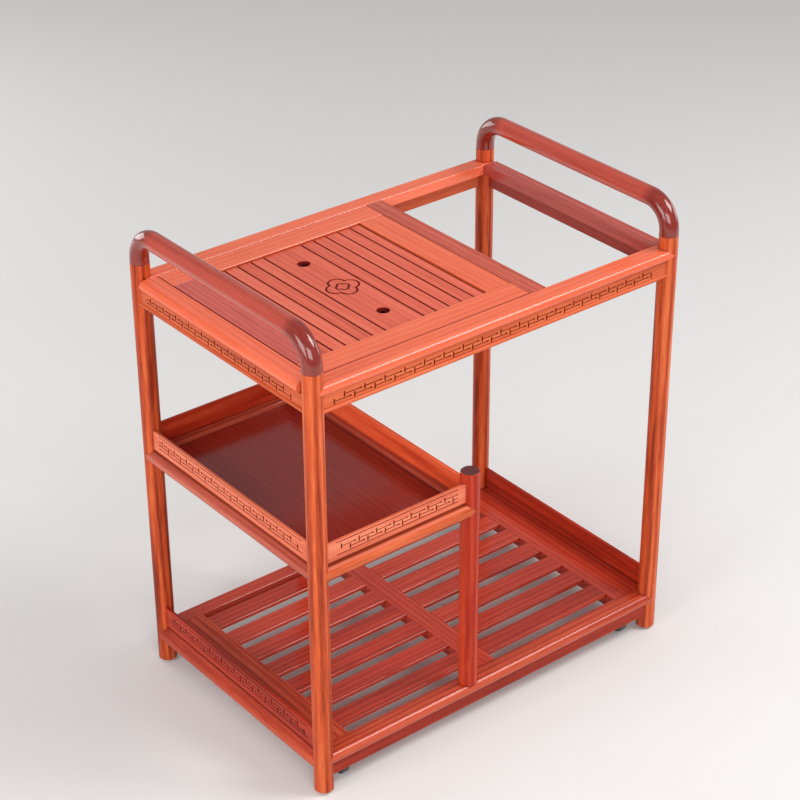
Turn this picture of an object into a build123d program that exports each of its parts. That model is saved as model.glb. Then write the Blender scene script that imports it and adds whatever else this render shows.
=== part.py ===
from build123d import *
from math import hypot
import os

os.makedirs("parts", exist_ok=True)

# A gongfu tea table on casters. X runs along the table, Y across it, Z up from the floor.
# The front is at -Y; the long middle shelf is at -X and the open stove bay at +X.

# ---------------------------------------------------------------- round uprights (mm)
leg_spacing_x = 693.0       # between leg axes
leg_spacing_y = 441.0
leg_diameter = 31.0
leg_above_deck = 22.5       # leg tops, where the handrails begin
foot_gap = 4.0              # the casters hold the legs this far above the floor
foot_chamfer = 1.5
joint_chamfer = 0.5         # V line where a leg meets its handrail
post_x = -55.1              # the two short posts at the inner end of the middle shelf
post_above_shelf = 54.2     # post tops above the middle shelf's rails
post_chamfer = 1.2
post_peg_diameter = 12.0
post_peg_depth = 14.0

# ---------------------------------------------------------------- handrails
handrail_rise = 50.3        # handrail axis above the leg tops
handrail_bend = 45.0        # bend radius at the axis
dowel_diameter = 10.0
dowel_half = 18.0           # length in each of the two pieces that a dowel joins
dowel_end_play = 1.0

# ---------------------------------------------------------------- shared joinery
tenon_thickness = 8.0
tenon_shoulder = 3.5        # above and below a tenon
tenon_web = 1.5             # wood left between two tenons that meet in one upright
face_setback = 6.0          # aprons and strips stand back from the outer tangent plane
edge_ease = 0.8             # small chamfer on the arrises of rails and slats

# ---------------------------------------------------------------- table top
deck_height = 725.5
top_rail_thickness = 17.0
top_rail_width = 34.0
top_side_width = 33.2
top_nose = 8.5
cross_rail_width = 32.0
cross_rail_x = 91.5         # its middle
cross_tenon = 9.0
cross_tenon_width = 20.0
apron_height = 28.6
apron_thickness = 12.0
apron_bead_radius = 3.2
ledger_thickness = 12.0
ledger_width = 28.0
ledger_reach = 11.0         # how far a ledger stands in under the tray
ledger_leg_gap = 1.0
ledger_gap = 1.0            # between two ledgers

# ---------------------------------------------------------------- tea tray, lid and drip pan
tray_gap = 1.2              # around the tray in the top
tray_thickness = 24.0
tray_rail_width = 43.6      # front and back members, full length
tray_left_width = 47.8
tray_right_width = 46.2
tray_tenon = 12.0
tray_tenon_thickness = 10.0
recess_depth = 3.8          # lid surface below the deck
lid_thickness = 8.0
lid_side_gap = 0.6          # in front of the lid and behind it
lid_end_gap = 2.0           # at its left and right
lid_ledge = 6.0             # ledge in the tray that the pan's rim lies on
lid_board_width = 69.3
slat_pitch = 24.35
slat_gap = 2.8
slat_least = 8.0            # narrowest closing slat
batten_width = 12.0
batten_thickness = 6.0
batten_y = 118.0
batten_end_gap = 8.0
lid_edge_round = 0.6
finger_hole_diameter = 21.0
finger_hole_y = 99.6
seat_gap = 0.3              # between pieces that lift apart
pan_wall = 1.2
pan_depth = 26.0
pan_gap = 1.0
pan_corner = 12.0

# ---------------------------------------------------------------- carving
fret_depth = 1.5
fret_stroke = 2.6           # width and height of the upright cuts
fret_stroke_height = 9.0
fret_rows = 6.4             # height between the two rows
fret_line = 1.4             # height of the level cuts
fret_eye_width = 4.0        # square end of a level cut
fret_eye_height = 2.6
fret_clear = 7.4            # from that end to the next upright cut
fret_pitch_long = 36.4
fret_pitch_short = 34.8
fret_end_block = 15.5       # plain wood beside each upright
fret_end_long = 21.5        # the same on the long aprons
apron_fret_shift = -6.8     # the long aprons' key lies off their middle
apron_fret_lift = 15.8      # middle of the key above an apron's lower edge
gallery_fret_lift = 1.2     # middle of the key above a gallery board's middle
gallery_lines = (12.2, -9.4)    # level lines above and below a gallery's key
ornament_radius = 14.0      # of each lobe of the lid's quatrefoil
ornament_inner_radius = 5.6
ornament_line = 3.4
ornament_depth = 1.5

# ---------------------------------------------------------------- middle shelf
shelf_height = 417.5        # top of its rails
shelf_rail_thickness = 22.5
shelf_rail_width = 28.0
shelf_nose = 7.0
panel_drop = 8.0            # panel surface below the rail tops
panel_thickness = 8.0
panel_groove = 6.0
panel_play = 0.6
gallery_neck = 5.4          # height of the shadow gap under a gallery board
gallery_neck_inset = 1.5
gallery_tongue = 3.5        # tongue in the rail below
gallery_thickness = 5.8
gallery_edge_round = 1.2
shelf_gallery_height = 32.7
gallery_setback = 8.9       # board face behind the outer tangent plane
right_gallery_offset = 2.9  # middle of the right board, towards the shelf from the post axes

# ---------------------------------------------------------------- bottom shelf
base_height = 72.0
base_rail_thickness = 20.0
base_rail_width = 33.3
base_nose = 8.0
base_side_width = 77.0
base_side_nose_thickness = 33.0
base_side_nose_width = 30.0
base_side_nose = 10.0
base_strip_height = 21.0
base_strip_thickness = 10.0
divider_width = 36.5
base_slat_count = 7
base_slat_width = 36.4
base_slat_thickness = 6.5
base_slat_tenon = 8.0
base_slat_tenon_thickness = 4.0
base_back_gap = 14.1        # behind the last slat
divider_tenon = 12.0
base_gallery_height = 35.6

# ---------------------------------------------------------------- casters and screws
caster_x = 300.0
caster_y = 185.0
caster_plate = 34.0
caster_plate_thickness = 2.0
race_radius = 13.0
race_height = 3.0
kingpin_radius = 4.0
kingpin_head_radius = 6.0
kingpin_head_height = 1.5
kingpin_pocket_radius = 8.0
kingpin_pocket_depth = 3.0
running_play = 0.05
crown_thickness = 2.5
wheel_radius = 18.0
wheel_width = 14.0
wheel_round = 2.0
wheel_dish = 2.0
wheel_hub_radius = 6.5
wheel_rim_radius = 13.0
wheel_side_gap = 0.8
caster_trail = 14.0
fork_arm = 1.8
fork_boss = 5.5
fork_root = 9.0
axle_radius = 2.5
axle_head_radius = 4.0
axle_head = 1.2
plate_screw_pitch = 24.0
screw_shank_radius = 1.6
screw_head_radius = 3.2
screw_head_height = 1.6
plate_screw_grip = 9.0
ledger_screw_grip = 20.0

# ---------------------------------------------------------------- derived places
leg_x = leg_spacing_x / 2
leg_y = leg_spacing_y / 2
leg_radius = leg_diameter / 2
leg_top = deck_height + leg_above_deck
outer_x = leg_x + leg_radius
outer_y = leg_y + leg_radius
tenon_end = tenon_thickness / 2 + tenon_web      # tenon tip, from the upright's axis
tenon_root = leg_radius + 1                      # inside the member that carries the tenon
handrail_height = leg_top + handrail_rise

top_rail_inner = outer_y - top_rail_width
top_side_inner = outer_x - top_side_width
top_under = deck_height - top_rail_thickness
apron_bottom = top_under - apron_height
apron_outer_y = outer_y - face_setback
apron_outer_x = outer_x - face_setback
cross_left = cross_rail_x - cross_rail_width / 2
cross_right = cross_rail_x + cross_rail_width / 2

tray_low_x = tray_gap - top_side_inner
tray_high_x = cross_left - tray_gap
tray_outer_y = top_rail_inner - tray_gap
tray_under = deck_height - tray_thickness
recess_low_x = tray_low_x + tray_left_width
recess_high_x = tray_high_x - tray_right_width
recess_y = tray_outer_y - tray_rail_width
lid_top = deck_height - recess_depth
lid_under = lid_top - lid_thickness
lid_centre_x = (recess_low_x + recess_high_x) / 2
pan_rim_top = lid_under - seat_gap
ledge_top = pan_rim_top - pan_wall - seat_gap
ledger_top = tray_under - seat_gap

shelf_inner_y = outer_y - shelf_rail_width
shelf_left_inner = outer_x - shelf_rail_width
shelf_right_inner = post_x + leg_radius - shelf_rail_width
shelf_under = shelf_height - shelf_rail_thickness
post_top = shelf_height + post_above_shelf
panel_top = shelf_height - panel_drop
panel_under = panel_top - panel_thickness
shelf_gallery_low = shelf_height + gallery_neck
gallery_outer_y = outer_y - gallery_setback
gallery_outer_x = outer_x - gallery_setback

base_inner_y = outer_y - base_rail_width
base_inner_x = outer_x - base_side_width
base_under = base_height - base_rail_thickness
base_gallery_low = base_height + gallery_neck

corners = [(sx * leg_x, sy * leg_y) for sx in (-1, 1) for sy in (-1, 1)]
posts = [(post_x, sy * leg_y) for sy in (-1, 1)]
ends_x = [(-leg_x, 1), (leg_x, -1)]              # leg axes and the ways in from them
ends_y = [(-leg_y, 1), (leg_y, -1)]
shelf_ends_x = [(-leg_x, 1), (post_x, -1)]
tall = (0.0, 2 * deck_height)                    # a span higher than the whole table


# ---------------------------------------------------------------- helpers
def save(shape, name):
    """Label a finished piece and write its STEP file."""
    shape.label = name
    export_step(shape, f"parts/{name}.step")


def save_front_back(builder, name):
    """Save a front piece and its mirror image at the back; `name` holds the place as {}."""
    save(builder.part, name.format("front"))
    save(mirror(builder.part, about=Plane.XZ), name.format("back"))


def save_left_right(builder, name):
    """Save a left piece and its mirror image at the right; `name` holds the place as {}."""
    save(builder.part, name.format("left"))
    save(mirror(builder.part, about=Plane.YZ), name.format("right"))


def save_four(builder, name):
    """Save the front left piece and its mirror images at the other three corners."""
    save_front_back(builder, f"{name}_{{}}_left")
    right = mirror(builder.part, about=Plane.YZ)
    save(right, f"{name}_front_right")
    save(mirror(right, about=Plane.XZ), f"{name}_back_right")


def block(x, y, z, mode=Mode.ADD):
    """Add or cut a square block that spans x, y and z, each a pair in any order."""
    spans = [sorted(span) for span in (x, y, z)]
    middle = [(low + high) / 2 for low, high in spans]
    with Locations(tuple(middle)):
        Box(*[high - low for low, high in spans], mode=mode)


def rods(places, z, radius, mode=Mode.ADD):
    """Add or cut an upright cylinder that spans the heights z at each (x, y) place."""
    with Locations(*[(x, y, (z[0] + z[1]) / 2) for x, y in places]):
        Cylinder(radius, z[1] - z[0], mode=mode)


def ease_top(builder, axis):
    """Chamfer the highest edges that run along `axis`."""
    chamfer(builder.edges().filter_by(axis).group_by(Axis.Z)[-1], edge_ease)


def cope(uprights, clearance=0.0):
    """Cut a piece to the round uprights that it meets."""
    rods(uprights, tall, leg_radius + clearance, Mode.SUBTRACT)


def tenons_x(ends, y, z, mode=Mode.ADD, centre=0.0, root=tenon_root):
    """Tenons or mortises of a member along X, at each (upright, way in) of its ends."""
    middle = (tenon_end + root) / 2
    with Locations(*[(x + way * middle, y + centre, (z[0] + z[1]) / 2) for x, way in ends]):
        Box(root - tenon_end, tenon_thickness, z[1] - z[0], mode=mode)


def tenons_y(ends, x, z, mode=Mode.ADD, centre=0.0, root=tenon_root):
    """Tenons or mortises of a member along Y, at each (upright, way in) of its ends."""
    middle = (tenon_end + root) / 2
    with Locations(*[(x + centre, y + way * middle, (z[0] + z[1]) / 2) for y, way in ends]):
        Box(tenon_thickness, root - tenon_end, z[1] - z[0], mode=mode)


def shouldered(low, high):
    """Heights of the tenon on a member that spans low to high."""
    return (low + tenon_shoulder, high - tenon_shoulder)


def nosed(outer, inner, top, thickness, nose):
    """Rail section with an eased inner edge and a rounded nose that ends at `outer`."""
    side = 1 if outer > inner else -1
    shoulder = outer - side * nose
    under = top - thickness
    eased = [(inner + side * edge_ease, top), (inner, top - edge_ease)]
    with BuildLine() as section:
        Polyline((shoulder, top), *eased, (inner, under), (shoulder, under))
        ThreePointArc((shoulder, under), (outer, (top + under) / 2), (shoulder, top))
    make_face(section.edges())


def gallery_section(outer, inner, low, height):
    """Upright board on a narrow neck, whose tongue goes into the rail below."""
    side = 1 if outer > inner else -1
    middle = (outer + inner) / 2
    neck = gallery_thickness - 2 * gallery_neck_inset
    with BuildSketch(mode=Mode.PRIVATE) as board:
        with Locations((middle, low + height / 2)):
            Rectangle(side * (outer - inner), height)
        fillet(board.vertices().group_by(Axis.Y)[-1], gallery_edge_round)
    add(board.sketch)
    with Locations((middle, low - (gallery_neck + gallery_tongue) / 2)):
        Rectangle(neck, gallery_neck + gallery_tongue)


def gallery_slot(x, y, top):
    """Groove in a rail top for a gallery's tongue."""
    block(x, y, (top - gallery_tongue, top + 1), Mode.SUBTRACT)


def tongue_span(outer, inner):
    """Span of a gallery's tongue across its board."""
    middle = (outer + inner) / 2
    half = gallery_thickness / 2 - gallery_neck_inset
    return (middle - half, middle + half)


def outward_face(side_x, side_y, x, y, z):
    """Plane on an outer face: its x runs along the board, its y up, its normal outward."""
    return Plane(origin=(x, y, z), x_dir=(-side_y, side_x, 0), z_dir=(side_x, side_y, 0))


def carve_fret(face, length, pitch, phase, way, lines=()):
    """Running key of two rows: upright cuts, each with a level cut that runs on by `way`.

    The first upper cut stands `phase` of a pitch from the start; `lines` are heights of
    level lines that run the whole length.
    """
    count = max(1, round(length / pitch))
    step = length / count
    half = length / 2
    lower = [(i + phase - 0.5) * step - half for i in range(count + 1)]
    uprights = [((i + phase) * step - half, fret_rows / 2) for i in range(count)]
    uprights += [(x, -fret_rows / 2) for x in lower if abs(x) < half + fret_stroke]
    reach = step - fret_clear
    with BuildSketch(face) as pattern:
        with Locations(*uprights):
            Rectangle(fret_stroke, fret_stroke_height)
        with Locations(*[(x + way * reach / 2, y) for x, y in uprights]):
            Rectangle(reach, fret_line)
        with Locations(*[(x + way * reach, y) for x, y in uprights]):
            Rectangle(fret_eye_width, fret_eye_height)
        Rectangle(length + fret_stroke, 2 * fret_stroke_height, mode=Mode.INTERSECT)
        for height in lines:
            with Locations((0, height)):
                Rectangle(length + fret_stroke, fret_line)
    extrude(pattern.sketch, amount=-fret_depth, mode=Mode.SUBTRACT)


def drive_screws(places, head_z, grip):
    """Screws driven upward: pan heads below head_z and shanks above it."""
    rods(places, (head_z - screw_head_height, head_z), screw_head_radius)
    rods(places, (head_z, head_z + grip), screw_shank_radius)


def screw_holes(places, z):
    rods(places, z, screw_shank_radius, Mode.SUBTRACT)


# ---------------------------------------------------------------- tenon heights
top_rail_tenon = shouldered(top_under, deck_height)
apron_tenon = shouldered(apron_bottom, top_under)
shelf_tenon = shouldered(shelf_under, shelf_height)
base_tenon = shouldered(base_under, base_height)
apron_centre = leg_radius - face_setback - apron_thickness / 2    # from the leg axis, outward

# ---------------------------------------------------------------- legs
for name_x, side_x in (("left", -1), ("right", 1)):
    x = side_x * leg_x
    in_x, in_y = [(x, -side_x)], [(-leg_y, 1)]
    with BuildPart() as leg:
        rods([(x, -leg_y)], (foot_gap, leg_top), leg_radius)
        rims = leg.edges().filter_by(GeomType.CIRCLE).sort_by(Axis.Z)
        chamfer(rims[0], foot_chamfer)
        chamfer(leg.edges().filter_by(GeomType.CIRCLE).sort_by(Axis.Z)[-1], joint_chamfer)
        dowel_hole = (leg_top - dowel_half - dowel_end_play, leg_top)
        rods([(x, -leg_y)], dowel_hole, dowel_diameter / 2, Mode.SUBTRACT)
        for heights in (top_rail_tenon, base_tenon):
            tenons_x(in_x, -leg_y, heights, Mode.SUBTRACT)
            tenons_y(in_y, x, heights, Mode.SUBTRACT)
        tenons_x(in_x, -leg_y, apron_tenon, Mode.SUBTRACT, -apron_centre)
        tenons_y(in_y, x, apron_tenon, Mode.SUBTRACT, side_x * apron_centre)
        if side_x < 0:
            tenons_x(in_x, -leg_y, shelf_tenon, Mode.SUBTRACT)
            tenons_y(in_y, x, shelf_tenon, Mode.SUBTRACT)
    save_front_back(leg, f"leg_{{}}_{name_x}")

# ---------------------------------------------------------------- posts of the middle shelf
with BuildPart() as post:
    rods([(post_x, -leg_y)], (base_height, post_top), leg_radius)
    chamfer(post.edges().filter_by(GeomType.CIRCLE).sort_by(Axis.Z)[-1], post_chamfer)
    rods([(post_x, -leg_y)], (base_height - post_peg_depth, base_height), post_peg_diameter / 2)
    tenons_x([(post_x, -1)], -leg_y, shelf_tenon, Mode.SUBTRACT)
    tenons_y([(-leg_y, 1)], post_x, shelf_tenon, Mode.SUBTRACT)
save_front_back(post, "shelf_post_{}")

# ---------------------------------------------------------------- handrails and their dowels
bend_y = leg_y - handrail_bend
bend_z = handrail_height - handrail_bend
with BuildPart() as handrail:
    with BuildLine(Plane.YZ.offset(-leg_x)) as path:
        Line((-leg_y, leg_top), (-leg_y, bend_z))
        RadiusArc((-leg_y, bend_z), (-bend_y, handrail_height), handrail_bend)
        Line((-bend_y, handrail_height), (bend_y, handrail_height))
        RadiusArc((bend_y, handrail_height), (leg_y, bend_z), handrail_bend)
        Line((leg_y, bend_z), (leg_y, leg_top))
    with BuildSketch(Plane.XY.offset(leg_top)):
        with Locations((-leg_x, -leg_y)):
            Circle(leg_radius)
    sweep(path=path.wires()[0])
    ends = handrail.faces().filter_by(Axis.Z).group_by(Axis.Z)[0].edges()
    chamfer(ends, joint_chamfer)
    dowel_hole = (leg_top, leg_top + dowel_half + dowel_end_play)
    rods([(-leg_x, -leg_y), (-leg_x, leg_y)], dowel_hole, dowel_diameter / 2, Mode.SUBTRACT)
save_left_right(handrail, "handrail_{}")

with BuildPart() as dowels:
    rods(corners, (leg_top - dowel_half, leg_top + dowel_half), dowel_diameter / 2)
save(dowels.part, "handrail_dowels")

# ---------------------------------------------------------------- screw places
ledger_front_y = apron_outer_y - apron_thickness
ledger_left_edge = apron_outer_x - apron_thickness
ledger_inner_y = top_rail_inner - ledger_reach
ledger_low_x = leg_x - leg_radius - ledger_leg_gap
ledger_high_x = cross_left - ledger_reach + ledger_width
ledger_left_x = top_side_inner - ledger_reach
ledger_screw_y = (ledger_front_y + top_rail_inner) / 2
ledger_screw_xs = [-0.85 * ledger_low_x, -ledger_low_x / 3, cross_left - tray_right_width]
left_screw_x = (top_side_inner + ledger_left_edge) / 2
long_ledger_screws = [(x, sy * ledger_screw_y) for x in ledger_screw_xs for sy in (-1, 1)]
left_ledger_screws = [(-left_screw_x, sy * ledger_inner_y / 2) for sy in (-1, 1)]
cross_ledger_screws = [(cross_left + ledger_width / 4, sy * ledger_inner_y / 2) for sy in (-1, 1)]
ledger_screws = long_ledger_screws + left_ledger_screws + cross_ledger_screws
ledger_under = ledger_top - ledger_thickness
ledger_hole_z = (top_under, ledger_under + ledger_screw_grip)

half_screw_pitch = plate_screw_pitch / 2
caster_places = [(sx * caster_x, sy * caster_y) for sx in (-1, 1) for sy in (-1, 1)]
plate_screws = [(x + dx * half_screw_pitch, y + dy * half_screw_pitch)
                for x, y in caster_places for dx in (-1, 1) for dy in (-1, 1)]
plate_under = base_under - caster_plate_thickness

# ---------------------------------------------------------------- table top rails and aprons
top_side_root = leg_y - top_rail_inner + 1       # side rails' tenons pass the front rail's lip
cross_x = (cross_rail_x - cross_tenon_width / 2, cross_rail_x + cross_tenon_width / 2)
cross_end = top_rail_inner + cross_tenon
with BuildPart() as rail:
    with BuildSketch(Plane.YZ):
        nosed(-outer_y, -top_rail_inner, deck_height, top_rail_thickness, top_nose)
    extrude(amount=leg_x, both=True)
    cope(corners)
    for x in (-leg_x, leg_x):
        tenons_y([(-leg_y, 1)], x, top_rail_tenon, Mode.SUBTRACT, root=top_side_root)
    tenons_x(ends_x, -leg_y, top_rail_tenon)
    block(cross_x, (-top_rail_inner, -cross_end), top_rail_tenon, Mode.SUBTRACT)
    screw_holes(long_ledger_screws, ledger_hole_z)
save_front_back(rail, "top_rail_{}")

fret_z = apron_bottom + apron_fret_lift
with BuildPart() as apron:
    with BuildSketch(Plane.YZ):
        with Locations((apron_thickness / 2 - apron_outer_y, apron_bottom + apron_height / 2)):
            Rectangle(apron_thickness, apron_height)
        with Locations((-apron_outer_y, apron_bottom + apron_bead_radius)):
            Circle(apron_bead_radius)
    extrude(amount=leg_x, both=True)
    cope(corners)
    tenons_x(ends_x, -leg_y, apron_tenon, centre=-apron_centre)
    fret_length = leg_spacing_x - leg_diameter - 2 * fret_end_long
    face = outward_face(0, -1, apron_fret_shift, -apron_outer_y, fret_z)
    carve_fret(face, fret_length, fret_pitch_long, 0.5, 1)
save_front_back(apron, "top_apron_{}")

for name, side in (("left", -1), ("right", 1)):
    with BuildPart() as rail:
        with BuildSketch(Plane.XZ):
            nosed(side * outer_x, side * top_side_inner, deck_height, top_rail_thickness, top_nose)
        extrude(amount=top_rail_inner, both=True)
        cope(corners)
        tenons_y(ends_y, side * leg_x, top_rail_tenon, root=top_side_root)
        if side < 0:
            screw_holes(left_ledger_screws, ledger_hole_z)
    save(rail.part, f"top_rail_{name}")

side_fret_length = leg_spacing_y - leg_diameter - 2 * fret_end_block
with BuildPart() as apron:
    with BuildSketch(Plane.XZ):
        with Locations((apron_thickness / 2 - apron_outer_x, apron_bottom + apron_height / 2)):
            Rectangle(apron_thickness, apron_height)
        with Locations((-apron_outer_x, apron_bottom + apron_bead_radius)):
            Circle(apron_bead_radius)
    extrude(amount=leg_y, both=True)
    cope(corners)
    tenons_y(ends_y, -leg_x, apron_tenon, centre=-apron_centre)
    face = outward_face(-1, 0, -apron_outer_x, 0, fret_z)
    carve_fret(face, side_fret_length, fret_pitch_short, 0.25, -1)
save_left_right(apron, "top_apron_{}")

with BuildPart() as cross_rail:
    block((cross_left, cross_right), (-top_rail_inner, top_rail_inner), (top_under, deck_height))
    ease_top(cross_rail, Axis.Y)
    block(cross_x, (-cross_end, cross_end), top_rail_tenon)
    screw_holes(cross_ledger_screws, ledger_hole_z)
save(cross_rail.part, "top_cross_rail")

# ---------------------------------------------------------------- ledgers that carry the tray
ledger_z = (ledger_under, ledger_top)
filler_z = (ledger_under, top_under)     # the part under a rail reaches up to it
between_y = ledger_inner_y - ledger_gap
between = (-between_y, between_y)
with BuildPart() as ledgers:
    for side in (-1, 1):
        run = (-ledger_low_x, ledger_high_x)
        block(run, (side * ledger_inner_y, side * ledger_front_y), ledger_z)
        block(run, (side * top_rail_inner, side * ledger_front_y), filler_z)
    block((-ledger_left_edge, -ledger_left_x), between, ledger_z)
    block((-ledger_left_edge, -top_side_inner), between, filler_z)
    block((cross_left - ledger_reach, ledger_high_x), between, ledger_z)
    block((cross_left, ledger_high_x), between, filler_z)
    screw_holes(ledger_screws, (ledger_under - 1, top_under + 1))
save(ledgers.part, "tray_ledgers")

# ---------------------------------------------------------------- tea tray
tray_tenon_z = (tray_under + 4, tray_under + 4 + tray_tenon_thickness)
tray_sides = {"left": (tray_low_x, recess_low_x, 1), "right": (recess_high_x, tray_high_x, -1)}
with BuildPart() as tray_rail:
    block((tray_low_x, tray_high_x), (-recess_y, -tray_outer_y), (tray_under, deck_height))
    ease_top(tray_rail, Axis.X)
    block((recess_low_x, recess_high_x), (-recess_y, lid_ledge - recess_y), (tray_under, ledge_top))
    for low, high, inward in tray_sides.values():
        slot = (low + tray_tenon, high - tray_tenon)
        block(slot, (-recess_y, -recess_y - tray_tenon), tray_tenon_z, Mode.SUBTRACT)
save_front_back(tray_rail, "tray_rail_{}")

for name, (low, high, inward) in tray_sides.items():
    with BuildPart() as tray_rail:
        block((low, high), (-recess_y, recess_y), (tray_under, deck_height))
        ease_top(tray_rail, Axis.Y)
        inner = high if inward > 0 else low
        ledge_y = recess_y - lid_ledge
        block((inner, inner + inward * lid_ledge), (-ledge_y, ledge_y), (tray_under, ledge_top))
        tenon_span = recess_y + tray_tenon
        slot = (low + tray_tenon, high - tray_tenon)
        block(slot, (-tenon_span, tenon_span), tray_tenon_z)
    save(tray_rail.part, f"tray_rail_{name}")

# ---------------------------------------------------------------- slatted lid
lid_y = recess_y - lid_side_gap
lid_z = (lid_under, lid_top)
board_low = lid_centre_x - lid_board_width / 2
board_high = lid_centre_x + lid_board_width / 2
with BuildPart() as lid_board:
    block((board_low, board_high), (-lid_y, lid_y), lid_z)
    chamfer(lid_board.edges().filter_by(Axis.Y).group_by(Axis.Z)[-1], lid_edge_round)
    finger_holes = [(lid_centre_x, -finger_hole_y), (lid_centre_x, finger_hole_y)]
    rods(finger_holes, (lid_under - 1, lid_top + 1), finger_hole_diameter / 2, Mode.SUBTRACT)
    # a quatrefoil with a smaller one inside it
    quarters = [Location((lid_centre_x, 0, 0), (0, 0, turn)) for turn in (0, 90, 180, 270)]
    with BuildSketch(Plane.XY.offset(lid_top)):
        with Locations(*quarters):
            for radius in (ornament_radius, ornament_inner_radius):
                with BuildLine(mode=Mode.PRIVATE) as stroke:
                    CenterArc((radius, 0), radius, -90, 180)
                SlotArc(stroke.edges()[0], ornament_line)
    extrude(amount=-ornament_depth, mode=Mode.SUBTRACT)
save(lid_board.part, "lid_center_board")

slat_edges = []
for direction, wall in ((-1, recess_low_x + lid_end_gap), (1, recess_high_x - lid_end_gap)):
    start = lid_centre_x + direction * (lid_board_width + slat_gap) / 2
    room = abs(wall - start)
    full = max(0, int((room - slat_least) / slat_pitch))
    for i in range(full):
        near = start + direction * (i * slat_pitch + slat_gap / 2)
        slat_edges.append((near, near + direction * (slat_pitch - slat_gap)))
    slat_edges.append((start + direction * (full * slat_pitch + slat_gap / 2), wall))
with BuildPart() as lid_slats:
    for edges in slat_edges:
        block(edges, (-lid_y, lid_y), lid_z)
    chamfer(lid_slats.edges().filter_by(Axis.Y).group_by(Axis.Z)[-1], lid_edge_round)
save(lid_slats.part, "lid_slats")

batten_x = (recess_low_x + lid_ledge + batten_end_gap, recess_high_x - lid_ledge - batten_end_gap)
with BuildPart() as lid_battens:
    for side in (-1, 1):
        across = (side * batten_y - batten_width / 2, side * batten_y + batten_width / 2)
        block(batten_x, across, (lid_under - batten_thickness, lid_under))
save(lid_battens.part, "lid_battens")

# ---------------------------------------------------------------- drip pan
rim_size = (recess_high_x - recess_low_x - 2 * lid_side_gap, 2 * lid_y)
pan_size = [size + 2 * lid_side_gap - 2 * (lid_ledge + pan_gap) for size in rim_size]
with BuildPart() as drip_pan:
    with BuildSketch(Plane.XY.offset(pan_rim_top - pan_wall)):
        with Locations((lid_centre_x, 0)):
            Rectangle(*rim_size)
    extrude(amount=pan_wall)
    with BuildSketch(Plane.XY.offset(pan_rim_top - pan_depth)):
        with Locations((lid_centre_x, 0)):
            RectangleRounded(*pan_size, pan_corner)
    extrude(amount=pan_depth)
    with BuildSketch(Plane.XY.offset(pan_rim_top - pan_depth + pan_wall)):
        with Locations((lid_centre_x, 0)):
            RectangleRounded(*[size - 2 * pan_wall for size in pan_size], pan_corner - pan_wall)
    extrude(amount=pan_depth, mode=Mode.SUBTRACT)
save(drip_pan.part, "drip_pan")

# ---------------------------------------------------------------- middle shelf
shelf_uprights = corners + posts
groove_z = (panel_under, panel_top)
front_board = (-gallery_outer_y, gallery_thickness - gallery_outer_y)
with BuildPart() as rail:
    with BuildSketch(Plane.YZ.offset(-leg_x)):
        nosed(-outer_y, -shelf_inner_y, shelf_height, shelf_rail_thickness, shelf_nose)
    extrude(amount=leg_x + post_x)
    cope(shelf_uprights)
    tenons_x(shelf_ends_x, -leg_y, shelf_tenon)
    gallery_slot((-leg_x, post_x), tongue_span(*front_board), shelf_height)
    block((-leg_x, post_x), (-shelf_inner_y, -shelf_inner_y - panel_groove), groove_z, Mode.SUBTRACT)
save_front_back(rail, "shelf_rail_{}")

shelf_fret_z = shelf_gallery_low + shelf_gallery_height / 2 + gallery_fret_lift
with BuildPart() as gallery_board:
    with BuildSketch(Plane.YZ.offset(-leg_x)):
        gallery_section(*front_board, shelf_gallery_low, shelf_gallery_height)
    extrude(amount=leg_x + post_x)
    cope(shelf_uprights)
    face = outward_face(0, -1, (post_x - leg_x) / 2, front_board[0], shelf_fret_z)
    fret_length = leg_x + post_x - leg_diameter - 2 * fret_end_block
    carve_fret(face, fret_length, fret_pitch_short, 0.25, 1, gallery_lines)
save_front_back(gallery_board, "shelf_gallery_{}")

right_middle = post_x - right_gallery_offset
right_board = (right_middle + gallery_thickness / 2, right_middle - gallery_thickness / 2)
left_board = (-gallery_outer_x, gallery_thickness - gallery_outer_x)
shelf_sides = {
    "left": (-outer_x, -shelf_left_inner, left_board, -leg_x, 1),
    "right": (post_x + leg_radius, shelf_right_inner, right_board, post_x, -1),
}
for name, (outer, inner, board, axis_x, inward) in shelf_sides.items():
    with BuildPart() as rail:
        with BuildSketch(Plane.XZ):
            nosed(outer, inner, shelf_height, shelf_rail_thickness, shelf_nose)
        extrude(amount=leg_y, both=True)
        for side_y in (-1, 1):
            end = (side_y * shelf_inner_y, side_y * outer_y)
            block((axis_x, axis_x + inward * shelf_rail_width), end, tall, Mode.SUBTRACT)
        cope(shelf_uprights)
        tenons_y(ends_y, axis_x, shelf_tenon)
        gallery_slot(tongue_span(*board), (-leg_y, leg_y), shelf_height)
        block((inner, inner - inward * panel_groove), (-leg_y, leg_y), groove_z, Mode.SUBTRACT)
    save(rail.part, f"shelf_rail_{name}")

    with BuildPart() as gallery_board:
        with BuildSketch(Plane.XZ):
            gallery_section(*board, shelf_gallery_low, shelf_gallery_height)
        extrude(amount=leg_y, both=True)
        cope(shelf_uprights)
        face = outward_face(-inward, 0, board[0], 0, shelf_fret_z)
        carve_fret(face, side_fret_length, fret_pitch_short, 0.25, -1, gallery_lines)
    save(gallery_board.part, f"shelf_gallery_{name}")

with BuildPart() as panel:
    reach = panel_groove - panel_play
    panel_y = shelf_inner_y + reach
    block((-shelf_left_inner - reach, shelf_right_inner + reach), (-panel_y, panel_y), groove_z)
    cope(shelf_uprights, panel_play)
save(panel.part, "shelf_panel")

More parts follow.
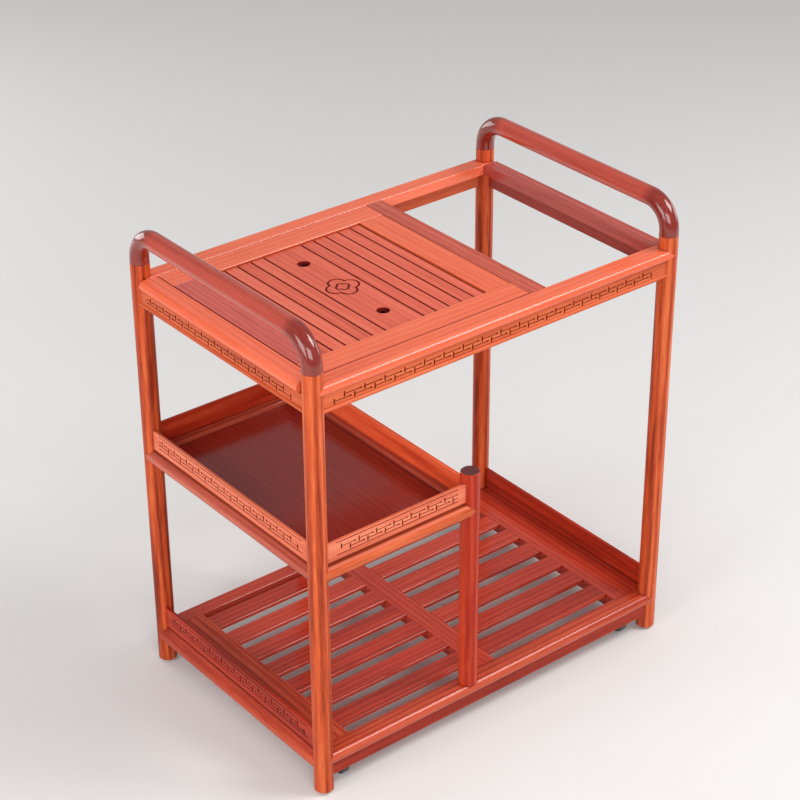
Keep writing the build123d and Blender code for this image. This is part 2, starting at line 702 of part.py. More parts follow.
# ---------------------------------------------------------------- bottom shelf
base_side_root = leg_y - base_inner_y + 1
divider_x = (-divider_width / 2, divider_width / 2)
divider_z = (base_under, base_height)
divider_tenon_x = (divider_x[0] + tenon_thickness, divider_x[1] - tenon_thickness)
divider_end = base_inner_y + divider_tenon
with BuildPart() as rail:
    with BuildSketch(Plane.YZ):
        nosed(-outer_y, -base_inner_y, base_height, base_rail_thickness, base_nose)
    extrude(amount=leg_x, both=True)
    cope(corners)
    for x in (-leg_x, leg_x):
        tenons_y([(-leg_y, 1)], x, base_tenon, Mode.SUBTRACT, root=base_side_root)
    tenons_x(ends_x, -leg_y, base_tenon)
    rods(posts, (base_height - post_peg_depth, base_height), post_peg_diameter / 2, Mode.SUBTRACT)
    block(divider_tenon_x, (-base_inner_y, -divider_end), base_tenon, Mode.SUBTRACT)
save_front_back(rail, "base_rail_{}")

with BuildPart() as strips:
    for side in (-1, 1):
        face_y = side * (outer_y - face_setback)
        across = (face_y, face_y - side * base_strip_thickness)
        block((-leg_x, leg_x), across, (base_under - base_strip_height, base_under))
    cope(corners)
save(strips.part, "base_strips")

slat_room = 2 * base_inner_y - base_back_gap - base_slat_count * base_slat_width
base_slat_gap = slat_room / base_slat_count
base_slat_pitch = base_slat_width + base_slat_gap
first_slat = base_slat_gap + base_slat_width / 2 - base_inner_y
slat_rows = [first_slat + i * base_slat_pitch for i in range(base_slat_count)]
slat_tenon_width = base_slat_width - 2 * base_slat_tenon
slat_middle = base_height - base_slat_thickness / 2


def at_slats(x, width, thickness, mode=Mode.ADD):
    """Add or cut a block at every slat, spanning x, in the middle of the slat's section."""
    with Locations(*[((x[0] + x[1]) / 2, y, slat_middle) for y in slat_rows]):
        Box(abs(x[1] - x[0]), width, thickness, mode=mode)


def slat_mortises(edge, toward):
    """Mortises for the slat ends in the member whose edge is at `edge`."""
    x = (edge, edge + toward * base_slat_tenon)
    at_slats(x, slat_tenon_width, base_slat_tenon_thickness, Mode.SUBTRACT)


nose_inner = base_side_nose_width - outer_x
base_board = (-gallery_outer_x, gallery_thickness - gallery_outer_x)
with BuildPart() as rail:
    with BuildSketch(Plane.XZ):
        nosed(-outer_x, nose_inner, base_height, base_side_nose_thickness, base_side_nose)
        with Locations(((nose_inner - base_inner_x) / 2, base_height - base_rail_thickness / 2)):
            Rectangle(-base_inner_x - nose_inner, base_rail_thickness)
    extrude(amount=leg_y, both=True)
    for side_y in (-1, 1):
        end = (side_y * base_inner_y, side_y * outer_y)
        block((0, -leg_x), end, tall, Mode.SUBTRACT)
    cope(corners)
    tenons_y(ends_y, -leg_x, base_tenon, root=base_side_root)
    gallery_slot(tongue_span(*base_board), (-leg_y, leg_y), base_height)
    slat_mortises(-base_inner_x, -1)
    pocket = (base_under - 1, base_under + kingpin_pocket_depth)
    rods(caster_places, pocket, kingpin_pocket_radius, Mode.SUBTRACT)
    screw_holes(plate_screws, (base_under - 1, plate_under + plate_screw_grip))
save_left_right(rail, "base_rail_{}")

with BuildPart() as gallery_board:
    with BuildSketch(Plane.XZ):
        gallery_section(*base_board, base_gallery_low, base_gallery_height)
    extrude(amount=leg_y, both=True)
    cope(corners)
    base_fret_z = base_gallery_low + base_gallery_height / 2 + gallery_fret_lift
    face = outward_face(-1, 0, base_board[0], 0, base_fret_z)
    carve_fret(face, side_fret_length, fret_pitch_short, 0.25, -1, gallery_lines)
save_left_right(gallery_board, "base_gallery_{}")

with BuildPart() as divider:
    block(divider_x, (-base_inner_y, base_inner_y), divider_z)
    ease_top(divider, Axis.Y)
    block(divider_tenon_x, (-divider_end, divider_end), base_tenon)
    slat_mortises(divider_x[0], 1)
    slat_mortises(divider_x[1], -1)
save(divider.part, "base_divider")

with BuildPart() as slats:
    at_slats((-base_inner_x, divider_x[0]), base_slat_width, base_slat_thickness)
    ease_top(slats, Axis.X)
    tenon_tips = (-base_inner_x - base_slat_tenon, divider_x[0] + base_slat_tenon)
    at_slats(tenon_tips, slat_tenon_width, base_slat_tenon_thickness)
save_left_right(slats, "base_slats_{}")

# ---------------------------------------------------------------- casters
race_under = plate_under - race_height
crown_top = race_under - seat_gap
crown_under = crown_top - crown_thickness
arm_inner = wheel_width / 2 + wheel_side_gap
arm_outer = arm_inner + fork_arm
with BuildPart() as plates:
    with Locations(*[(x, y, (plate_under + base_under) / 2) for x, y in caster_places]):
        Box(caster_plate, caster_plate, caster_plate_thickness)
    rods(caster_places, (race_under, plate_under), race_radius)
    rods(caster_places, (race_under, base_under), kingpin_radius + running_play, Mode.SUBTRACT)
    screw_holes(plate_screws, (plate_under, base_under))
save(plates.part, "caster_plates")

kingpin = [(-caster_x, -caster_y)]
axle_y = -caster_y - caster_trail
axle_place = Location((-caster_x, axle_y, wheel_radius), (0, 90, 0))
head_low = base_under + seat_gap
with BuildPart() as fork:
    rods(kingpin, (crown_under, crown_top), race_radius)
    rods(kingpin, (crown_top, head_low), kingpin_radius)
    rods(kingpin, (head_low, head_low + kingpin_head_height), kingpin_head_radius)
    crown_x = (-caster_x - arm_outer, -caster_x + arm_outer)
    block(crown_x, (-caster_y - fork_root, -caster_y + fork_root), (crown_under, crown_top))
    for way in (-1, 1):
        with BuildSketch(Plane.YZ.offset(way * arm_inner - caster_x)):
            with Locations((-caster_y, crown_under + crown_thickness / 2)):
                Rectangle(2 * fork_root, crown_thickness)
            with Locations((axle_y, wheel_radius)):
                Circle(fork_boss)
            make_hull()
        extrude(amount=way * fork_arm)
    with Locations(axle_place):
        Cylinder(axle_radius, 2 * arm_outer + 1, mode=Mode.SUBTRACT)
save_four(fork, "caster_fork")

with BuildPart() as axle:
    with Locations(axle_place):
        Cylinder(axle_radius, 2 * arm_outer)
        with Locations((0, 0, arm_outer + axle_head / 2), (0, 0, -arm_outer - axle_head / 2)):
            Cylinder(axle_head_radius, axle_head)
save_four(axle, "caster_axle")

with BuildPart() as wheel:
    with Locations(axle_place):
        Cylinder(wheel_radius, wheel_width)
    fillet(wheel.edges().filter_by(GeomType.CIRCLE), wheel_round)
    for way in (-1, 1):
        dish = wheel_width / 2 - wheel_dish
        with BuildSketch(Plane.YZ.offset(way * dish - caster_x)):
            with Locations((axle_y, wheel_radius)):
                Circle(wheel_rim_radius)
                Circle(wheel_hub_radius, mode=Mode.SUBTRACT)
        extrude(amount=way * wheel_dish, mode=Mode.SUBTRACT)
    with Locations(axle_place):
        Cylinder(axle_radius + running_play, wheel_width, mode=Mode.SUBTRACT)
save_four(wheel, "caster_wheel")

# ---------------------------------------------------------------- screws
with BuildPart() as screws:
    drive_screws(ledger_screws, ledger_under, ledger_screw_grip)
    drive_screws(plate_screws, plate_under, plate_screw_grip)
save(screws.part, "wood_screws")

swept = hypot(caster_trail + wheel_radius, wheel_width / 2)
print("lid recess", round(recess_low_x, 1), round(recess_high_x, 1), "caster sweep", round(swept, 1))
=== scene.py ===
import math

import bpy
from mathutils import Matrix, Vector


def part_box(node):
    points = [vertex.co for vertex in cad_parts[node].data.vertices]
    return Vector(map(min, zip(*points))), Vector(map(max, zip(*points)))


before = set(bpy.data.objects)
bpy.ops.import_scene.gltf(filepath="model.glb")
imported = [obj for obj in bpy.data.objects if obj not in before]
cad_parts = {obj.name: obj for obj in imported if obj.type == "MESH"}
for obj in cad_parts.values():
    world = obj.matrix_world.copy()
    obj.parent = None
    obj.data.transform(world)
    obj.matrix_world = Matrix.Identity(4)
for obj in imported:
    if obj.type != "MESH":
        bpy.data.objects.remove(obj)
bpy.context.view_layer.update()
MM = 0.001

# ------------------------------------------------ places that the finishes need, as on the solids
FRET_DEPTH = 1.5 * MM             # carving in the aprons and gallery boards
FRET_SHADE_DEPTHS = (0.2, 1.3)            # shares of that depth between which the cuts carry painted shade
FRET_MARGIN = 1.5 * MM            # plain wood above and below a carved band
BEAD_RADIUS = 3.2 * MM            # round bead along an apron's lower edge
LID_FIRST = 36.05 * MM            # from the lid's middle to the middle of its first gap
LID_PITCH = 24.35 * MM            # of the lid's slats
BASE_PITCH = 55.9 * MM            # of the lower shelf's slats
LID_EASE = 0.7 * MM               # the sides of the lid's boards carry painted shade from here down, in the gaps between them
TRAY_EASE = 1.2 * MM              # and the tray rails' sides: painted shade in the recess
JOINT_WIDTH = 0.9 * MM            # painted shade on the tray's edge along the gap round it
SOFT_STEP = 0.35 * MM             # over which such a shade sets in
THROUGH = 1.0                     # deeper than any piece
CREASE_REACH = 5.0 * MM           # how far out of a corner the painted shade reaches
CREASE_OPEN = (0.35, 0.85)        # openness at which a corner is darkest, and at which it is plain
CREASE_SAMPLES = 4
HANDRAIL_BEND = 168 * MM          # where a handrail starts to bend down, from its middle
BEND_BLEND = 20 * MM              # over which its grain turns upright and its painted shade sets in

# painted shades that the wood's colour is multiplied by: in cuts, gaps, recesses, creases and the
# handrails' bends
CUT_PAINTED_SHADE = (0.48, 0.34, 0.22)
GAP_PAINTED_SHADE = (0.26, 0.02, 0.006)
JOINT_PAINTED_SHADE = (0.50, 0.30, 0.24)
REBATE_PAINTED_SHADE = (0.66, 0.66, 0.42)
CREASE_PAINTED_SHADE = (0.46, 0.24, 0.16)
BEND_PAINTED_SHADE = (0.50, 0.34, 0.34)

# ------------------------------------------------ wood tones: dark, middle and light, linear
HANDRAIL = ((0.240, 0.020, 0.010), (0.480, 0.056, 0.030), (0.640, 0.110, 0.070))
TOP = ((0.620, 0.082, 0.030), (0.880, 0.152, 0.066), (0.960, 0.250, 0.130))
PINK = ((0.400, 0.055, 0.038), (0.640, 0.115, 0.088), (0.780, 0.190, 0.150))
ROSE = ((0.230, 0.024, 0.016), (0.430, 0.062, 0.046), (0.600, 0.120, 0.092))
LID = ((0.540, 0.072, 0.034), (0.800, 0.132, 0.072), (0.910, 0.215, 0.125))
RAIL = ((0.300, 0.036, 0.020), (0.620, 0.102, 0.058), (0.780, 0.180, 0.115))
APRON = ((0.360, 0.048, 0.012), (0.660, 0.115, 0.036), (0.860, 0.230, 0.090))
# the right apron: the apron's tones darkened as painted shade on its inner face
SHADED_APRON = ((0.130, 0.010, 0.005), (0.250, 0.024, 0.014), (0.400, 0.056, 0.036))
LEG = ((0.230, 0.020, 0.005), (0.600, 0.084, 0.020), (0.840, 0.200, 0.060))
POST = ((0.180, 0.010, 0.003), (0.420, 0.022, 0.006), (0.580, 0.060, 0.020))
POST_END = (0.120, 0.036, 0.034)
PEACH = ((0.460, 0.072, 0.030), (0.800, 0.175, 0.088), (0.930, 0.310, 0.180))
INNER = ((0.460, 0.042, 0.014), (0.820, 0.105, 0.034), (0.930, 0.190, 0.075))
SHELF = ((0.240, 0.030, 0.014), (0.460, 0.072, 0.038), (0.620, 0.130, 0.078))
PANEL = ((0.130, 0.010, 0.005), (0.290, 0.022, 0.013), (0.400, 0.045, 0.028))
BASE = ((0.200, 0.014, 0.006), (0.450, 0.036, 0.015), (0.600, 0.074, 0.036))
BASE_EDGE = ((0.170, 0.010, 0.004), (0.460, 0.032, 0.010), (0.620, 0.080, 0.028))
BASE_NOSE = ((0.200, 0.015, 0.006), (0.430, 0.040, 0.014), (0.620, 0.095, 0.036))
STRIP = ((0.160, 0.009, 0.003), (0.370, 0.024, 0.007), (0.520, 0.060, 0.020))
HIDDEN = ((0.260, 0.070, 0.030), (0.420, 0.130, 0.060), (0.560, 0.200, 0.100))

# ------------------------------------------------ textures
# noises: scale, detail, roughness and distortion
BROAD = (12.0, 2.0, 0.5, 0.4)
STREAKS = (80.0, 5.0, 0.65, 0.6)
FIBRES = (460.0, 3.0, 0.6)
PORES = (1400.0, 1.0)
STEEL_CLOUD = (260.0, 4.0, 0.6)
STEEL_SCRATCHES = (2200.0, 2.0)
SCRATCH_STRETCH = 0.05            # texture scale along the scratches, against 1 across them
PLASTIC_CLOUD = (400.0, 4.0, 0.6)
NOISE_RANGE = (0.3, 0.7)          # where most of a noise's values lie
PORE_EDGE = (0.62, 0.70)          # values of the pore noise over which a pore sets in

RING_SCALE = 28.0                 # growth rings about 11 mm apart on a board's face
RING_WAVER = {"Distortion": 5.0, "Detail": 2.0, "Detail Scale": 1.2}
BROAD_SHARE, STREAK_SHARE, RING_SHARE = 0.36, 0.50, 0.14
FIBRE_SHARE = 0.26                # that the fibres add to the figure or take off it
FIGURE_MIDDLE = 0.49              # value of the figure that has the middle tone
FIGURE_SPREAD = 0.15              # from there to the dark and to the light tone, at contrast 1
PORE_COVER = 0.3                  # how far a pore takes on the dark tone
PORE_DEPTH = 0.5                  # against the fibres' height
BOARD_TONE = 0.11                 # how much the figure's tone changes from board to board

GRAIN_STRETCH = 0.05              # texture scale along the grain, against 1 across it
ACROSS = {"X": "Y", "Y": "X", "Z": "X"}   # where the growth rings follow one another, by grain
SEED_SHIFT = (0.37, 0.61, 0.23)   # how far the texture moves for each step of the seed
BOARD_SHIFT = 0.37                # metres that it moves along each axis for each board of a row
FAR_SIDE = 20.0                   # added to a board's number past the middle of its row

# ------------------------------------------------ finishes
MATT = {"roughness": 0.36, "specular": 0.24}
SATIN = {"roughness": 0.18, "specular": 0.45}
POLISHED = {"roughness": 0.16, "specular": 0.50}
GLOSS = {"roughness": 0.10, "specular": 0.50, "coat": 0.4}
COAT_ROUGHNESS = 0.05
UNPOLISHED = 0.65                 # roughness inside cuts and gaps
SMOOTHER, ROUGHER = 0.04, 0.06    # how far a finish's roughness varies either way
END_GRAIN_TILT = (0.80, 0.95)     # upward part of the normal over which the end tone sets in
WOOD_RELIEF = (0.08 * MM, 0.4)    # a bump's height and strength
STEEL_RELIEF = (0.03 * MM, 0.5)
PLASTIC_RELIEF = (0.05 * MM, 0.6)

STEEL_TONES = ((0.3, (0.36, 0.36, 0.35)), (0.7, (0.62, 0.61, 0.58)))    # by the cloud's value
STEEL_ROUGHNESS = (0.28, 0.46)
RUBBER = (0.050, 0.050, 0.052)
RUBBER_ROUGHNESS = 0.55
PAN_BLACK = (0.018, 0.018, 0.018)
PAN_ROUGHNESS = 0.42
PLASTIC_STOPS = (0.3, 0.75)       # cloud values that have a plastic's own tone and its worn tone
WORN_GAIN, WORN_LIFT = 1.5, 0.01  # from the one tone to the other
PLASTIC_VARIATION = 0.06          # of its roughness, either way

COLOUR_MIX_INPUTS = (0, 6, 7)     # factor, A and B of a Mix node for colours,
COLOUR_MIX_OUTPUT = 2             # whose names other sockets of the node have too


# ------------------------------------------------ node helpers
class Graph:
    """One material's nodes."""

    def __init__(self, name):
        self.material = bpy.data.materials.new(name)
        self.material.use_nodes = True
        self.tree = self.material.node_tree
        self.shader = self.tree.nodes["Principled BSDF"]

    def feed(self, socket, value):
        """Link an output to a socket, or set a plain value on it."""
        if isinstance(value, bpy.types.NodeSocket):
            self.tree.links.new(value, socket)
        else:
            socket.default_value = value

    def add(self, kind, inputs, **settings):
        """Add a node of a kind, with values or links for its inputs."""
        node = self.tree.nodes.new("ShaderNode" + kind)
        for key, value in settings.items():
            setattr(node, key, value)
        for key, value in inputs.items():
            self.feed(node.inputs[key], value)
        return node

    def place(self):
        """The point on the piece, in metres."""
        return self.add("TexCoord", {}).outputs["Object"]

    def stretched(self, vector, scale, shift):
        node = self.add("Mapping", {"Vector": vector, "Scale": scale, "Location": shift})
        return node.outputs["Vector"]

    def noise(self, vector, scale, detail=3.0, roughness=0.55, distortion=0.0):
        node = self.add("TexNoise", {"Vector": vector, "Scale": scale, "Detail": detail,
                                     "Roughness": roughness, "Distortion": distortion})
        return node.outputs["Fac"]

    def rings(self, vector, scale, across):
        """Wavering bands, one after the other along the axis `across`."""
        inputs = {"Vector": vector, "Scale": scale, **RING_WAVER}
        return self.add("TexWave", inputs, bands_direction=across).outputs["Fac"]

    def parts(self, vector):
        """A vector's three numbers, under X, Y and Z."""
        return self.add("SeparateXYZ", {"Vector": vector}).outputs

    def math(self, operation, a, b=0.5):
        return self.add("Math", {0: a, 1: b}, operation=operation).outputs["Value"]

    def weigh(self, *terms):
        """Sum of (value, weight) pairs."""
        total = 0.0
        for value, weight in terms:
            total = self.math("ADD", total, self.math("MULTIPLY", value, weight))
        return total

    def blend(self, factor, a, b):
        """A number between two others."""
        node = self.add("Mix", {"Factor": factor, "A": a, "B": b}, data_type="FLOAT")
        return node.outputs["Result"]

    def span(self, value, low, high, to_low=0.0, to_high=1.0):
        """Map low..high to to_low..to_high, clamped."""
        node = self.add("MapRange", {"Value": value, "From Min": low, "From Max": high,
                                     "To Min": to_low, "To Max": to_high})
        return node.outputs["Result"]

    def ramp(self, value, stops):
        """A colour for a number, from (position, colour) stops."""
        node = self.add("ValToRGB", {"Fac": value})
        elements = node.color_ramp.elements
        while len(elements) < len(stops):
            elements.new(0.5)
        for element, (position, colour) in zip(elements, stops):
            element.position = position
            element.color = (*colour, 1.0)
        return node.outputs["Color"]

    def mix(self, factor, a, b, mode="MIX"):
        """A colour between two others, of which a plain one is three numbers."""
        node = self.add("Mix", {}, data_type="RGBA", blend_type=mode)
        for index, value in zip(COLOUR_MIX_INPUTS, (factor, a, b)):
            if isinstance(value, tuple):
                value = (*value, 1.0)
            self.feed(node.inputs[index], value)
        return node.outputs[COLOUR_MIX_OUTPUT]

    def shade(self, where, colour, tone):
        """A colour multiplied by a tone where `where` is 1, and as it is where it is 0."""
        return self.mix(where, colour, tone, "MULTIPLY")

    def crease_shade(self):
        """Painted shade from ambient occlusion: 1 in narrow gaps and inner corners, 0 on open
        faces.
        """
        node = self.add("AmbientOcclusion", {"Distance": CREASE_REACH}, samples=CREASE_SAMPLES)
        return self.span(node.outputs["AO"], *CREASE_OPEN, 1.0, 0.0)

    def bump(self, height, distance, strength):
        node = self.add("Bump", {"Height": height, "Distance": distance, "Strength": strength})
        return node.outputs["Normal"]

    def finish(self, **values):
        """Set the shader's inputs by name, with _ for a space, and return the material."""
        for key, value in values.items():
            self.feed(self.shader.inputs[key.replace("_", " ")], value)
        return self.material


# ------------------------------------------------ wood
def grain_scale(axis):
    scale = [1.0, 1.0, 1.0]
    scale["XYZ".index(axis)] = GRAIN_STRETCH
    return scale


def board_number(graph, place, boards):
    """A number for each board of a node that holds a row of them."""
    axis, centre, first, pitch = boards
    across = graph.parts(place)[axis]
    distance = graph.math("ABSOLUTE", graph.math("SUBTRACT", across, centre))
    pitches = graph.math("DIVIDE", graph.math("SUBTRACT", distance, first), pitch)
    count = graph.math("FLOOR", pitches)
    beyond = graph.math("GREATER_THAN", across, centre)
    return graph.math("ADD", count, graph.math("MULTIPLY", beyond, FAR_SIDE))


def figure_along(graph, place, axis, seed):
    """Grain along `axis`: a figure that picks the tone, the fine fibres and the open pores."""
    shift = tuple(share * seed for share in SEED_SHIFT)
    grain = graph.stretched(place, grain_scale(axis), shift)
    broad = graph.noise(grain, *BROAD)
    streaks = graph.noise(grain, *STREAKS)
    fibres = graph.noise(grain, *FIBRES)
    rings = graph.rings(grain, RING_SCALE, ACROSS[axis])
    pores = graph.span(graph.noise(grain, *PORES), *PORE_EDGE)
    figure = graph.weigh((broad, BROAD_SHARE), (streaks, STREAK_SHARE), (rings, RING_SHARE))
    either_way = graph.math("SUBTRACT", fibres, 0.5)
    figure = graph.math("ADD", figure, graph.math("MULTIPLY", either_way, FIBRE_SHARE))
    return figure, fibres, pores


def sunk(graph, place, band):
    """1 behind a face, between two depths and between two limits along another axis.

    band: the face's axis, place and outward way, the two depths, the other axis, its limits.
    """
    axis, face, way, start, end, across, low, high = band
    coordinates = graph.parts(place)
    depth = graph.math("MULTIPLY", graph.math("SUBTRACT", coordinates[axis], face), -way)
    behind = graph.span(depth, start, start + SOFT_STEP)
    shallow = graph.math("LESS_THAN", depth, end)
    above = graph.math("GREATER_THAN", coordinates[across], low)
    below = graph.math("LESS_THAN", coordinates[across], high)
    within = graph.math("MULTIPLY", above, below)
    return graph.math("MULTIPLY", graph.math("MULTIPLY", behind, shallow), within)


def wood(name, tones, axis, seed, finish, contrast, shaded, bend, end_tone, boards):
    """Lacquered wood whose grain runs along `axis`; `seed` gives each piece its own cut.

    shaded: bands for sunk(), each with the tone of its painted shade. bend: past this distance
    from the middle along Y the grain turns upright and painted shade darkens it. end_tone: colour
    of the end grain on top.
    boards: where the node's boards lie, for board_number(), so that each has its own cut.
    Any of the last three may be None.
    """
    graph = Graph(name)
    dark, middle, light = tones
    place = graph.place()
    cut_from = place
    if boards is not None:
        number = board_number(graph, place, boards)
        offset = graph.math("MULTIPLY", number, BOARD_SHIFT)
        moved = graph.add("VectorMath", {0: place, 1: offset}, operation="ADD")
        cut_from = moved.outputs["Vector"]
    figure, fibres, pores = figure_along(graph, cut_from, axis, seed)
    if boards is not None:
        chance = graph.add("TexWhiteNoise", {"W": number}, noise_dimensions="1D").outputs["Value"]
        own_tone = graph.span(chance, 0.0, 1.0, -BOARD_TONE, BOARD_TONE)
        figure = graph.math("ADD", figure, own_tone)
    if bend is not None:
        upright, upright_fibres, _ = figure_along(graph, place, "Z", seed)
        away = graph.math("ABSOLUTE", graph.parts(place)["Y"])
        turned = graph.span(away, bend, bend + BEND_BLEND)
        figure = graph.blend(turned, figure, upright)
        fibres = graph.blend(turned, fibres, upright_fibres)

    spread = FIGURE_SPREAD / contrast
    colour = graph.ramp(figure, ((FIGURE_MIDDLE - spread, dark), (FIGURE_MIDDLE, middle),
                                 (FIGURE_MIDDLE + spread, light)))
    colour = graph.mix(graph.math("MULTIPLY", pores, PORE_COVER), colour, dark)
    # painted shade on the handrail's bends
    if bend is not None:
        colour = graph.shade(turned, colour, BEND_PAINTED_SHADE)
    if end_tone is not None:
        upward = graph.parts(graph.add("NewGeometry", {}).outputs["Normal"])["Z"]
        colour = graph.mix(graph.span(upward, *END_GRAIN_TILT), colour, end_tone)
    rough = finish["roughness"]
    uneven = graph.span(fibres, *NOISE_RANGE, rough - SMOOTHER, rough + ROUGHER)
    # painted shade in cuts, gaps and the recess
    for band, tone in shaded:
        inside = sunk(graph, place, band)
        colour = graph.shade(inside, colour, tone)
        uneven = graph.blend(inside, uneven, UNPOLISHED)
    # painted shade in creases and inner corners, from ambient occlusion
    colour = graph.shade(graph.crease_shade(), colour, CREASE_PAINTED_SHADE)
    relief = graph.math("SUBTRACT", fibres, graph.math("MULTIPLY", pores, PORE_DEPTH))
    return graph.finish(Base_Color=colour, Roughness=uneven,
                        Specular_IOR_Level=finish["specular"],
                        Coat_Weight=finish.get("coat", 0.0), Coat_Roughness=COAT_ROUGHNESS,
                        Normal=graph.bump(relief, *WOOD_RELIEF))


# ------------------------------------------------ steel and plastic
def steel(name):
    """Zinc-coated steel: cloudy, with fine upright scratches."""
    graph = Graph(name)
    place = graph.place()
    cloud = graph.noise(place, *STEEL_CLOUD)
    colour = graph.ramp(cloud, STEEL_TONES)
    rough = graph.span(cloud, *NOISE_RANGE, *STEEL_ROUGHNESS)
    streaked = graph.stretched(place, (1, 1, SCRATCH_STRETCH), (0, 0, 0))
    scratches = graph.noise(streaked, *STEEL_SCRATCHES)
    return graph.finish(Base_Color=colour, Roughness=rough, Metallic=1.0,
                        Normal=graph.bump(scratches, *STEEL_RELIEF))


def plastic(name, tone, roughness):
    """Moulded plastic or rubber: a faint grain, paler and duller in places."""
    graph = Graph(name)
    place = graph.place()
    cloud = graph.noise(place, *PLASTIC_CLOUD)
    worn = [WORN_GAIN * channel + WORN_LIFT for channel in tone]
    colour = graph.ramp(cloud, tuple(zip(PLASTIC_STOPS, (tone, worn))))
    rough = graph.span(cloud, *NOISE_RANGE, roughness - PLASTIC_VARIATION,
                       roughness + PLASTIC_VARIATION)
    return graph.finish(Base_Color=colour, Roughness=rough,
                        Normal=graph.bump(cloud, *PLASTIC_RELIEF))


# ------------------------------------------------ which piece gets which finish
SIDE = {"front": ("Y", -1), "back": ("Y", 1), "left": ("X", -1), "right": ("X", 1)}
ALONG = {"front": "X", "back": "X", "left": "Y", "right": "Y"}

# name, tones, finish, contrast of the figure; the first name that a node starts with holds
WOODS = (
    ("leg_", LEG, MATT, 0.95),
    ("shelf_post_", POST, MATT, 0.90),
    ("handrail_dowels", HIDDEN, MATT, 1.00),
    ("handrail_", HANDRAIL, GLOSS, 0.40),
    ("top_rail_right", ROSE, SATIN, 0.55),
    ("top_rail_", TOP, SATIN, 0.45),
    ("tray_rail_left", PINK, SATIN, 0.50),
    ("tray_rail_", TOP, SATIN, 0.45),
    ("top_cross_rail", RAIL, SATIN, 0.55),
    # the right apron's darker tones are painted shade
    ("top_apron_right", SHADED_APRON, MATT, 0.60),
    ("top_apron_", APRON, MATT, 0.60),
    # the back gallery's darker tones are painted shade
    ("shelf_gallery_back", BASE_EDGE, MATT, 0.70),
    ("shelf_gallery_right", INNER, MATT, 0.80),
    ("shelf_gallery_", PEACH, MATT, 0.70),
    ("shelf_rail_front", APRON, MATT, 1.00),
    ("shelf_rail_", SHELF, SATIN, 0.80),
    ("shelf_panel", PANEL, POLISHED, 0.25),
    ("lid_battens", HIDDEN, MATT, 1.00),
    ("lid_", LID, SATIN, 0.45),
    ("tray_ledgers", HIDDEN, MATT, 1.00),
    ("base_gallery_", BASE_EDGE, MATT, 0.60),
    ("base_strips", STRIP, MATT, 0.70),
    ("base_rail_left", BASE_NOSE, MATT, 0.90),
    ("base_rail_front", BASE_NOSE, SATIN, 0.80),
    ("base_", BASE, SATIN, 0.55),
)
UPRIGHT = ("leg_", "shelf_post_", "handrail_dowels")
FRONT_TO_BACK = ("handrail_", "lid_center", "lid_slats", "top_cross", "base_divider",
                 "shelf_panel")
CARVED = ("top_apron_", "shelf_gallery_", "base_gallery_")


def side_of(node):
    """front, back, left or right, from the end of the node's name."""
    return node.rsplit("_", 1)[1]


def grain_axis(node):
    if node.startswith(UPRIGHT):
        return "Z"
    if node.startswith(FRONT_TO_BACK):
        return "Y"
    if node.startswith("base_slats"):
        return "X"
    return ALONG.get(side_of(node), "X")


def shaded_bands(node):
    """The parts of a node that carry painted shade, for sunk(), each with the tone of that shade.
    """
    low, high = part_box(node)
    if node.startswith("lid_"):
        # painted shade on the lid boards' sides, in the gaps between them
        return [(("Z", high.z, 1, LID_EASE, THROUGH, "Z", low.z, high.z), GAP_PAINTED_SHADE)]
    if not node.startswith(("tray_rail_", *CARVED)):
        return []
    axis, way = SIDE[side_of(node)]
    index = "XYZ".index(axis)
    face = high[index] if way > 0 else low[index]
    if node.startswith("tray_rail_"):
        # painted shade on the tray rails: in the recess below the deck and along the gap round the
        # tray
        rebate = ("Z", high.z, 1, TRAY_EASE, THROUGH, "Z", low.z, high.z)
        joint = (axis, face, way, -THROUGH, JOINT_WIDTH, "Z", low.z, high.z + MM)
        return [(rebate, REBATE_PAINTED_SHADE), (joint, JOINT_PAINTED_SHADE)]
    bottom = low.z + FRET_MARGIN
    if node.startswith("top_apron_"):
        face -= way * BEAD_RADIUS
        bottom = low.z + 2 * BEAD_RADIUS
    # painted shade inside the carved cuts
    start, end = (share * FRET_DEPTH for share in FRET_SHADE_DEPTHS)
    return [((axis, face, way, start, end, "Z", bottom, high.z - FRET_MARGIN), CUT_PAINTED_SHADE)]


def board_row(node):
    """Where a node's boards lie, for board_number(), or None."""
    low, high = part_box(node)
    if node == "lid_slats":
        return "X", (low.x + high.x) / 2, LID_FIRST, LID_PITCH
    if node.startswith("base_slats"):
        return "Y", low.y, 0.0, BASE_PITCH
    return None


def wood_for(node, seed):
    """The finish of one wooden piece."""
    _, tones, finish, contrast = next(row for row in WOODS if node.startswith(row[0]))
    bend = HANDRAIL_BEND if node in ("handrail_left", "handrail_right") else None
    end_tone = POST_END if node.startswith("shelf_post_") else None
    return wood(node, tones, grain_axis(node), seed, finish, contrast, shaded_bands(node), bend,
                end_tone, board_row(node))


def dress(node, material):
    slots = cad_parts[node].data.materials
    slots.clear()
    slots.append(material)


metal = steel("zinc_steel")
tread = plastic("caster_tread", RUBBER, RUBBER_ROUGHNESS)
pan = plastic("pan_plastic", PAN_BLACK, PAN_ROUGHNESS)
for number, node in enumerate(sorted(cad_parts)):
    if node.startswith("caster_wheel"):
        dress(node, tread)
    elif node.startswith("caster") or node == "wood_screws":
        dress(node, metal)
    elif node == "drip_pan":
        dress(node, pan)
    else:
        dress(node, wood_for(node, number))

# ------------------------------------------------ floor, camera and light, in metres and watts
FLOOR_SIZE = 30.0
PALE = (0.64, 0.62, 0.59)          # as it lights the table
PALE_SEEN = (0.80, 0.785, 0.765)   # as the camera and reflections see it
FLOOR_ROUGHNESS = 0.85
FLOOR_SPECULAR = 0.2

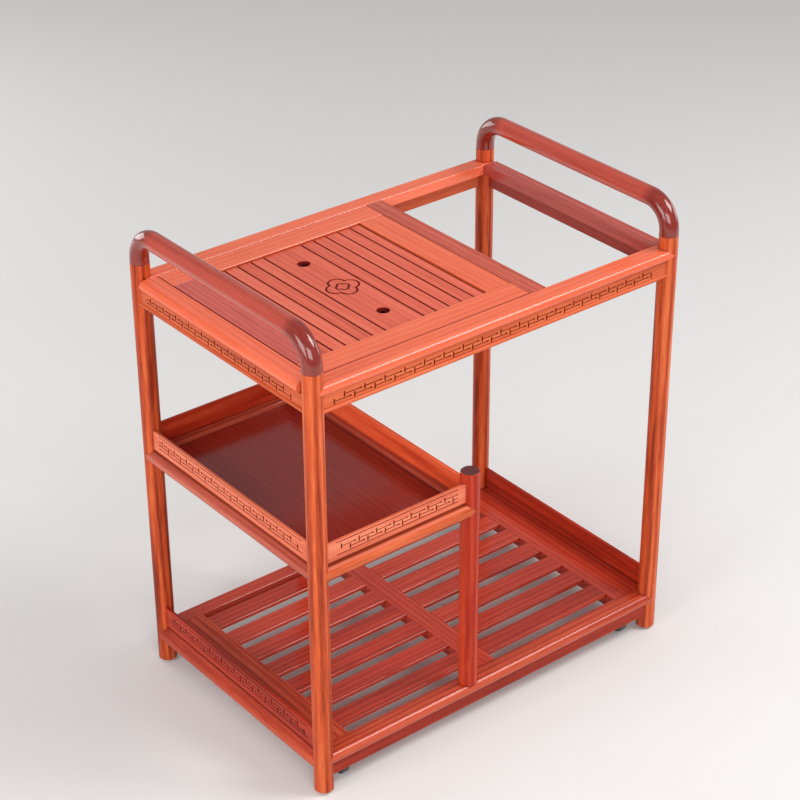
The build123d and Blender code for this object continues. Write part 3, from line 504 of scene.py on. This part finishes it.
CAMERA_AT = Vector((-1.8869, -2.3604, 2.2224))
CAMERA_HEADING = math.radians(38.40)      # from +Y towards +X
CAMERA_PITCH = math.radians(30.01)        # down
CAMERA_ROLL = math.radians(0.36)
CAMERA_LENS = 97.84                       # millimetres
CAMERA_SENSOR = 36.0

TABLE_MIDDLE = Vector((0.0, 0.0, 0.45))
WORLD_COLOUR = (0.90, 0.90, 0.92, 1.0)
WORLD_STRENGTH = 0.46
# name, place, width and height, power
LAMPS = (
    ("front right", (1.75, -1.6, 2.9), (1.5, 1.5), 64.0),
    ("front left", (-1.9, -3.0, 1.9), (2.2, 1.6), 54.0),
    ("left", (-3.2, -0.4, 1.5), (2.0, 1.6), 44.0),
    ("back", (-1.0, 3.4, 1.1), (2.0, 1.6), 34.0),
    ("right", (3.4, -0.6, 1.0), (1.4, 1.2), 13.0),
)


def make_floor():
    mesh = bpy.data.meshes.new("floor")
    half = FLOOR_SIZE / 2
    corners = [(-half, -half, 0), (half, -half, 0), (half, half, 0), (-half, half, 0)]
    mesh.from_pydata(corners, [], [(0, 1, 2, 3)])
    floor = bpy.data.objects.new("floor", mesh)
    bpy.context.scene.collection.objects.link(floor)
    graph = Graph("floor")
    path = graph.add("LightPath", {}).outputs
    seen = graph.math("MAXIMUM", path["Is Camera Ray"], path["Is Glossy Ray"])
    mesh.materials.append(graph.finish(Base_Color=graph.mix(seen, PALE, PALE_SEEN),
                                       Roughness=FLOOR_ROUGHNESS,
                                       Specular_IOR_Level=FLOOR_SPECULAR))


def make_camera():
    """The camera, from its place, heading, pitch and roll."""
    heading, pitch = CAMERA_HEADING, CAMERA_PITCH
    forward = Vector((math.sin(heading) * math.cos(pitch), math.cos(heading) * math.cos(pitch),
                      -math.sin(pitch)))
    level = Vector((math.cos(heading), -math.sin(heading), 0.0))
    plumb = forward.cross(level)
    right = math.cos(CAMERA_ROLL) * level + math.sin(CAMERA_ROLL) * plumb
    down = math.cos(CAMERA_ROLL) * plumb - math.sin(CAMERA_ROLL) * level
    turn = Matrix((right, -down, -forward)).transposed()
    data = bpy.data.cameras.new("camera")
    data.lens = CAMERA_LENS
    data.sensor_width = CAMERA_SENSOR
    camera = bpy.data.objects.new("camera", data)
    camera.matrix_world = Matrix.Translation(CAMERA_AT) @ turn.to_4x4()
    bpy.context.scene.collection.objects.link(camera)
    bpy.context.scene.camera = camera


def make_world():
    world = bpy.data.worlds.new("world")
    world.use_nodes = True
    background = world.node_tree.nodes["Background"]
    background.inputs["Color"].default_value = WORLD_COLOUR
    background.inputs["Strength"].default_value = WORLD_STRENGTH
    bpy.context.scene.world = world


def soft_box(name, at, size, power):
    """A rectangular lamp at `at` that faces the middle of the table."""
    data = bpy.data.lights.new(name, "AREA")
    data.shape = "RECTANGLE"
    data.size, data.size_y = size
    data.energy = power
    lamp = bpy.data.objects.new(name, data)
    aim = TABLE_MIDDLE - Vector(at)
    lamp.rotation_euler = aim.to_track_quat("-Z", "Y").to_euler()
    lamp.location = at
    bpy.context.scene.collection.objects.link(lamp)


make_floor()
make_camera()
make_world()
for lamp in LAMPS:
    soft_box(*lamp)
bpy.context.scene.view_settings.view_transform = "Standard"
